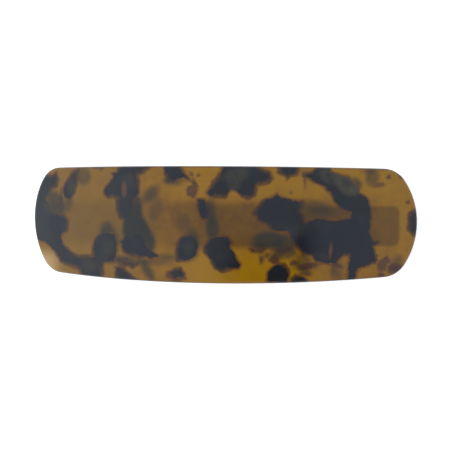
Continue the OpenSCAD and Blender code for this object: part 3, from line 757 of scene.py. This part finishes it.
def shadeArch(piece, spread):
    # Where a face lies within spread degrees of the arch, normal = the direction away from the arch's
    # axis, in or out; elsewhere the corners keep the normals that the modifiers gave them
    final = piece.evaluated_get(bpy.context.evaluated_depsgraph_get())
    mesh = bpy.data.meshes.new_from_object(final)
    corners = len(mesh.loops)
    vertex = np.empty(corners, np.int32)
    mesh.loops.foreach_get("vertex_index", vertex)
    where = np.empty(len(mesh.vertices) * 3, np.float32)
    mesh.vertices.foreach_get("co", where)
    given = np.empty(corners * 3, np.float32)
    mesh.corner_normals.foreach_get("vector", given)
    sides = np.empty(len(mesh.polygons), np.int32)
    mesh.polygons.foreach_get("loop_total", sides)
    facing = np.empty(len(mesh.polygons) * 3, np.float32)
    mesh.polygons.foreach_get("normal", facing)
    facing = np.repeat(facing.reshape(-1, 3), sides, 0)
    outward = where.reshape(-1, 3)[vertex] * (1, 0, 1) - (0, 0, archAxis * mm)
    outward = outward / np.linalg.norm(outward, axis=1)[:, None]
    along = (outward * facing).sum(1)[:, None]
    normals = np.where(np.abs(along) > np.cos(np.radians(spread)), outward * np.sign(along),
                       given.reshape(-1, 3))
    piece.modifiers.clear()
    piece.data = mesh
    mesh.normals_split_custom_set(normals.tolist())


# The shank's places run outwards from the arch's axis
rivetSettings = {
    "pinRadius": 0.8, "pinHead": 1.3, "pinReach": 4.9, "pinEnd": 5.4, "pinRim": 0.14,
    "shankRadius": 0.9, "shankHead": 1.4, "shankLow": 90.34, "shankTop": 92.34, "headHeight": 0.5,
    "shankRim": 0.12, "shankEase": 0.05, "seat": 91.55, "around": 48,
}


def turned(name, radii, places, origin, axis, replaced, around):
    # A profile of radius against place along the axis, spun once round it
    axis = np.array(axis) / np.linalg.norm(axis)
    first = np.cross(axis, (0.3, 0.5, 0.81))  # any direction off the axis
    first = first / np.linalg.norm(first)
    second = np.cross(axis, first)
    angle = np.linspace(0, 2 * np.pi, around, endpoint=False)
    circle = np.cos(angle)[:, None] * first + np.sin(angle)[:, None] * second
    radii = np.array(radii)
    places = np.array(places)
    points = np.array(origin) + places[:, None, None] * axis + radii[:, None, None] * circle
    return addPiece(name, points, gridFaces(len(radii), around, wrap=True), rivetSteel,
                    "clip_frame", [replaced])


def makeRivets(p):
    # A head is a quarter ellipse that meets a short straight rim
    rise = np.sin(np.linspace(0, np.pi / 2, 7))
    spread = np.cos(np.linspace(0, np.pi / 2, 7))
    low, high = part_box("hinge_pin")
    centre = np.array((low + high) / 2) / mm
    rim = p["pinReach"] + p["pinRim"]
    dome = rim + (p["pinEnd"] - rim) * rise
    inner = [-p["pinReach"], -p["pinReach"], p["pinReach"], p["pinReach"]]
    innerRadii = [p["pinHead"], p["pinRadius"], p["pinRadius"], p["pinHead"]]
    places = np.concatenate([-dome[::-1], inner, dome])
    radii = np.concatenate([p["pinHead"] * spread[::-1], innerRadii, p["pinHead"] * spread])
    turned("hingeRivet", radii, places, centre, (0, 1, 0), "hinge_pin", p["around"])

    low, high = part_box("catch_bracket")
    angle = np.arcsin((low.x + high.x) / 2 / mm / p["seat"])
    head = p["shankLow"] + p["headHeight"]
    dome = head - p["shankRim"] - (p["headHeight"] - p["shankRim"]) * rise
    inner = [head, head, p["shankTop"] - p["shankEase"], p["shankTop"], p["shankTop"]]
    innerRadii = [p["shankHead"], p["shankRadius"], p["shankRadius"], p["shankRadius"] - p["shankEase"], 0]
    places = np.concatenate([dome[::-1], inner])
    radii = np.concatenate([p["shankHead"] * spread[::-1], innerRadii])
    turned("catchRivet", radii, places, (0, 0, archAxis), (np.sin(angle), 0, np.cos(angle)), "catch_rivet",
           p["around"])


makeArm(armSettings)
makeBow(bowSettings)
makeTab("frontTab", "squeeze_tab_front", "tab_front", -1, tabSettings)
makeTab("backTab", "squeeze_tab_back", "tab_back", 1, tabSettings)
makeRivets(rivetSettings)
baseBar = easedCopy("baseBar", "base_bar", nickel, pressedSettings["barEdge"])
shadeArch(baseBar, pressedSettings["archSpread"])
easedCopy("catchBracket", "catch_bracket", springSteel, pressedSettings["bracketEdge"])
print("clip ready")


floorSettings = {"half": 900.0, "drop": 0.02, "lines": 9, "shade": (0.86, 0.86, 0.86), "glow": 0.62}


def makeFloor(p):
    # A square grid just under the clip's feet, pale and evenly bright, and clear from underneath
    side = np.linspace(-p["half"], p["half"], p["lines"])
    x, y = np.meshgrid(side, side)
    points = np.stack([x, y, 0 * x - p["drop"]], -1)
    paint = Paint("paleFloor", Base_Color=p["shade"], Roughness=0.6,
                  Emission_Strength=p["glow"], Emission_Color=(1.0, 1.0, 1.0))
    below = paint.node("ShaderNodeNewGeometry", out="Backfacing")
    clear = paint.node("ShaderNodeBsdfTransparent")
    solid = Value(paint, paint.shader.outputs[0])
    mixed = paint.node("ShaderNodeMixShader", None, {0: below, 1: solid, 2: clear})
    paint.connect(paint.tree.nodes["Material Output"], {"Surface": mixed})
    mesh = bpy.data.meshes.new("paleFloor")
    faces = gridFaces(p["lines"], p["lines"])
    mesh.from_pydata((points.reshape(-1, 3) * mm).tolist(), [], faces.tolist())
    mesh.materials.append(paint.owner)
    floor = bpy.data.objects.new("paleFloor", mesh)
    scene.collection.objects.link(floor)


# Pairs are where a soft step starts and ends, on the direction's X, -Y or Z
roomSettings = {
    "level": 0.66, "left": 0.46, "leftOver": (0.05, 0.95), "right": 0.15, "rightOver": (0.35, 0.95),
    "even": (0.90, 0.97, 1.08), "leftShade": (0.86, 0.96, 1.12),
    "patch": 0.92, "patchFront": (0.099, 0.108), "patchAway": (0.4, 0.7), "patchUp": (0.2, 0.5),
    "patchLeft": (-0.25, 0.0), "patchRight": (0.28, 0.44), "patchDip": 0.013, "dipOver": (0.25, 0.31),
}


def makeRoom(p):
    # Brightness by direction: an even room, brighter to the left and a little to the right, times
    # 1 - patch inside a dark area low in front
    room = Paint("softRoom", "worlds", "Background")
    way = room.node("ShaderNodeTexCoord", out="Generated")
    parts = room.tree.nodes.new("ShaderNodeSeparateXYZ")
    room.connect(parts, {0: way})
    x, y, z = (Value(room, socket) for socket in parts.outputs)
    left = (x * -1).step(*p["leftOver"])
    right = x.step(*p["rightOver"])
    ahead = y * -1
    lowered = ahead + x.step(*p["dipOver"]) * p["patchDip"]
    front = lowered.step(*p["patchFront"]) * (1 - ahead.step(*p["patchAway"]))
    front = front * x.step(*p["patchLeft"]) * (1 - x.step(*p["patchRight"])) * z.step(*p["patchUp"])
    level = (p["level"] + left * p["left"] + right * p["right"]) * (1 - front * p["patch"])
    shade = room.blend(left, p["leftShade"], p["even"])
    scene.world = room.finish(Color=shade, Strength=level)


softboxSettings = {"direction": (-0.2, 0.3, 0.9), "distance": 0.8, "side": 0.5, "brightness": 1.3}  # m


def makeSoftbox(p):
    # A square panel that faces the plate; brightness is its radiance
    light = bpy.data.lights.new("overheadSoftbox", "AREA")
    light.shape = "RECTANGLE"
    light.size = p["side"]
    light.size_y = p["side"]
    light.energy = p["brightness"] * np.pi * p["side"] ** 2
    panel = bpy.data.objects.new("overheadSoftbox", light)
    scene.collection.objects.link(panel)
    aim = Vector(p["direction"]).normalized()
    panel.location = aim * p["distance"]
    panel.rotation_euler = aim.to_track_quat("Z", "Y").to_euler()
    panel.visible_camera = False
    panel.visible_glossy = False


cameraSettings = {
    "distance": 450.0, "azimuth": -10.95, "elevation": 5.22, "roll": 0.45,
    "lens": 148.6, "sensor": 36.0, "shiftX": 0.0294, "shiftY": 0.0005, "nearest": 5.0,
}


def makeCamera(p):
    # Looks down on the top of the arch from the distance, turned by the three angles in degrees
    def turn(angle, axis):
        return Matrix.Rotation(np.radians(angle), 3, axis)

    aim = turn(p["roll"], "Z") @ turn(p["elevation"], "X") @ turn(p["azimuth"], "Y")
    back = aim.transposed()
    camera = bpy.data.objects.new("studioCamera", bpy.data.cameras.new("studioCamera"))
    scene.collection.objects.link(camera)
    apex = Vector((0, 0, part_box("face_plate")[1].z))
    place = apex + back @ Vector((0, 0, p["distance"] * mm))
    camera.matrix_world = Matrix.Translation(place) @ back.to_4x4()
    camera.data.lens = p["lens"]
    camera.data.sensor_width = p["sensor"]
    camera.data.shift_x = p["shiftX"]
    camera.data.shift_y = p["shiftY"]
    camera.data.clip_start = p["nearest"] * mm
    scene.camera = camera


makeFloor(floorSettings)
makeRoom(roomSettings)
makeSoftbox(softboxSettings)
makeCamera(cameraSettings)
scene.view_settings.view_transform = "Standard"
print("studio ready")
